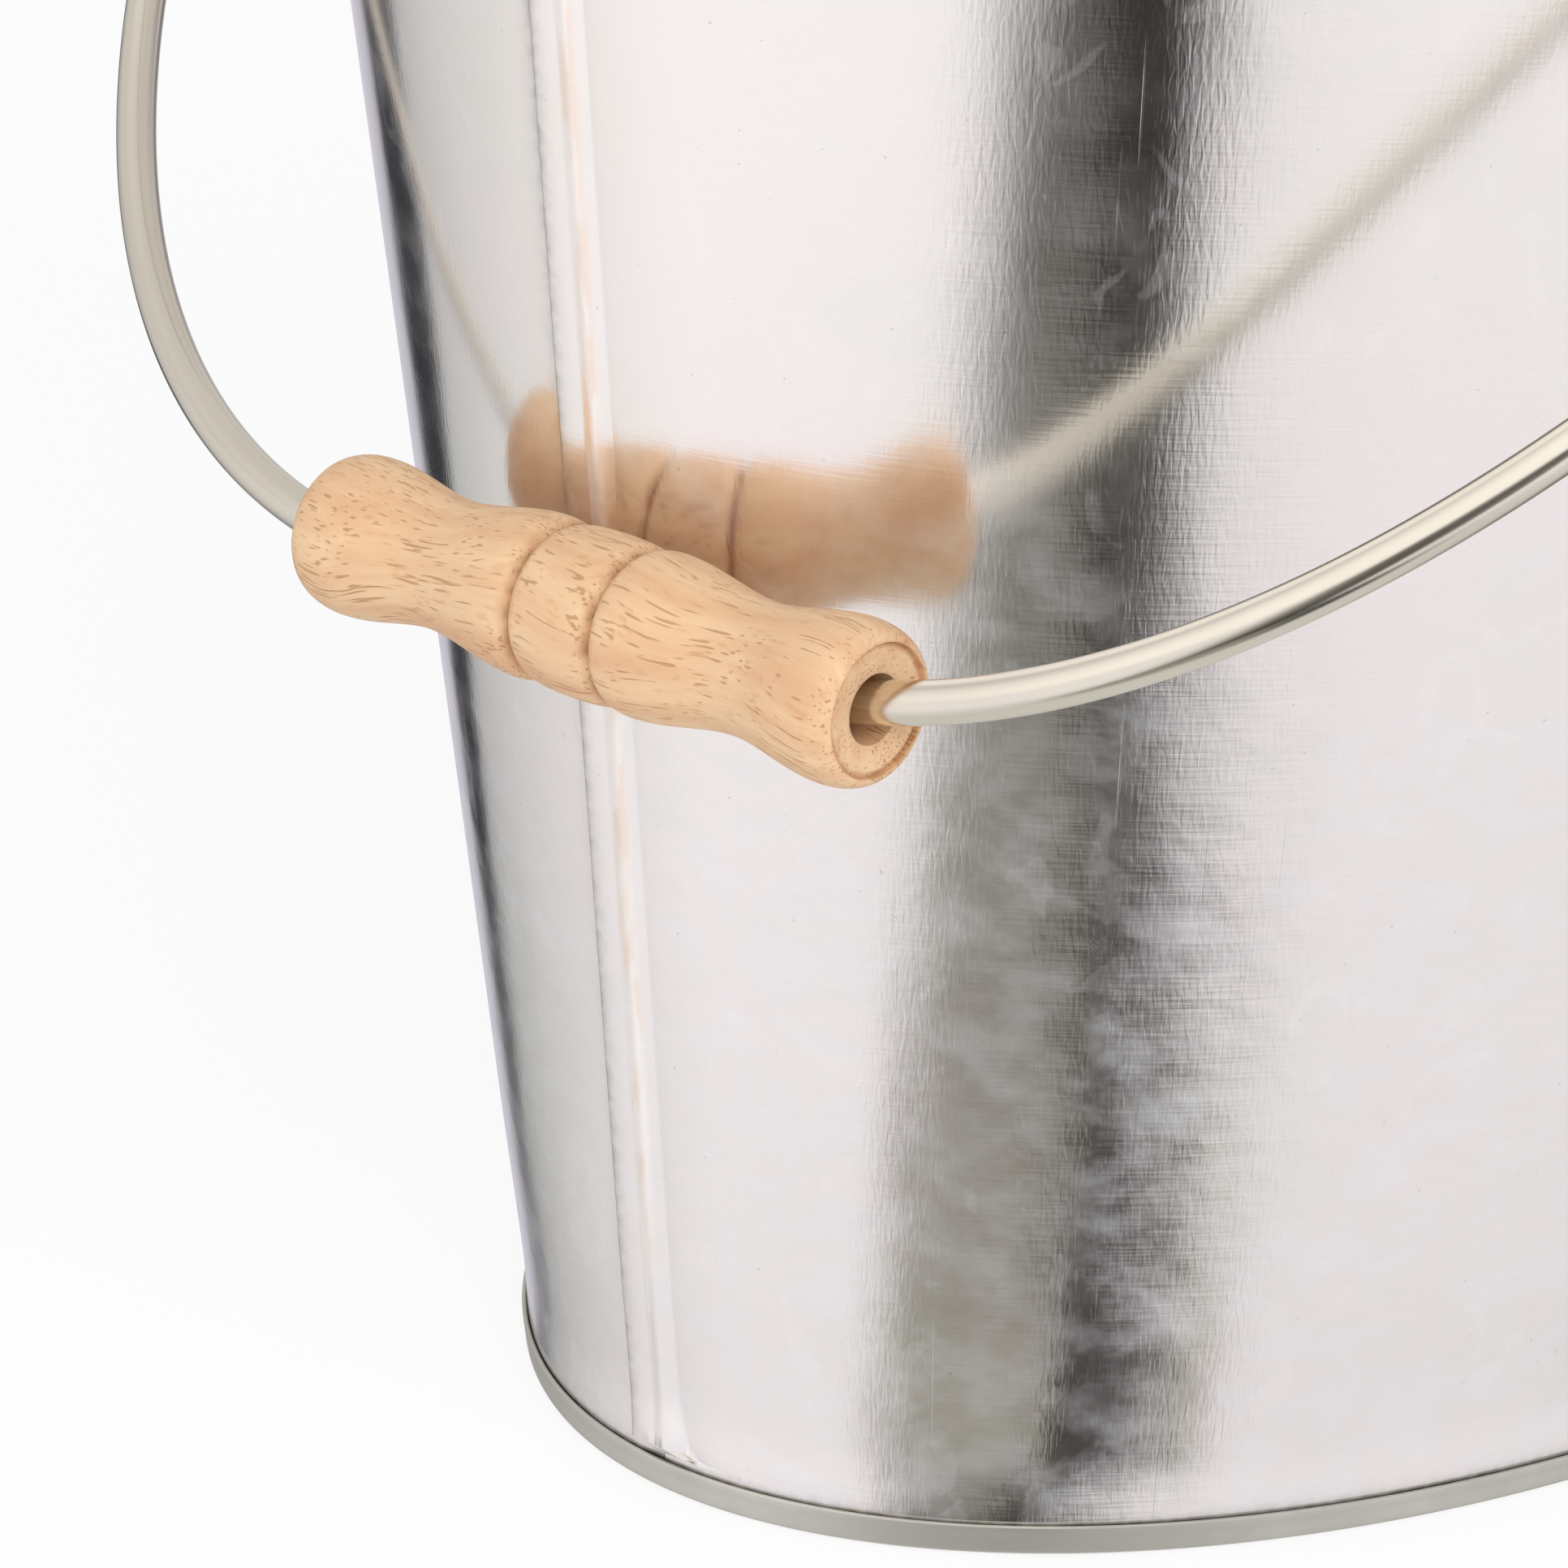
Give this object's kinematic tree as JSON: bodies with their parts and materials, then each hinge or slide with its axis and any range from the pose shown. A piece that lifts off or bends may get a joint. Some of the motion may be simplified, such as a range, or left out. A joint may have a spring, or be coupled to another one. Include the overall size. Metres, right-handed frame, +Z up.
{
  "type": "ash bucket",
  "caption": "Oval tapered ash bucket in galvanised sheet with a rolled rim, riveted ears and a swinging wire bail with a turned wooden grip.",
  "frame": {"origin": "middle of the oval, on the ground under the bottom band", "axes": "+X along the oval's long way, towards the end away from the hanging bail; +Y across it, towards the far ear; +Z up"},
  "size_m": [0.4418, 0.357, 0.3579],
  "materials": {
    "galvanised_sheet": "bright galvanised, faint spangle and rolling grain",
    "galvanised_pan": "galvanised, slightly dull",
    "zinc_wire": "zinc plated",
    "galvanised_ear": "galvanised pressing",
    "rivet": "dull zinc",
    "bail_wire": "zinc plated drawn wire, satin",
    "turned_wood": "turned pale hardwood, clear satin seal"
  },
  "bodies": {
    "bucket": {"wall_near": "galvanised_sheet", "wall_far": "galvanised_sheet", "base_pan": "galvanised_pan", "rim_wire": "zinc_wire", "ear_near": "galvanised_ear", "ear_far": "galvanised_ear", "rivet_near_left": "rivet", "rivet_near_right": "rivet", "rivet_far_left": "rivet", "rivet_far_right": "rivet"},
    "bail": {"bail_wire": "bail_wire"},
    "grip": {"grip": "turned_wood"}
  },
  "joints": [
    {"name": "bail_swing", "type": "hinge", "parent": "bucket", "child": "bail", "pos_m": [0, 0, 0.338], "axis": [0, 1, 0], "range_deg": [0, 266]},
    {"name": "grip_spin", "type": "hinge", "parent": "bail", "child": "grip", "pos_m": [-0.20248, -0.0125, 0.14663], "axis": [0, 1, 0], "continuous": true}
  ]
}
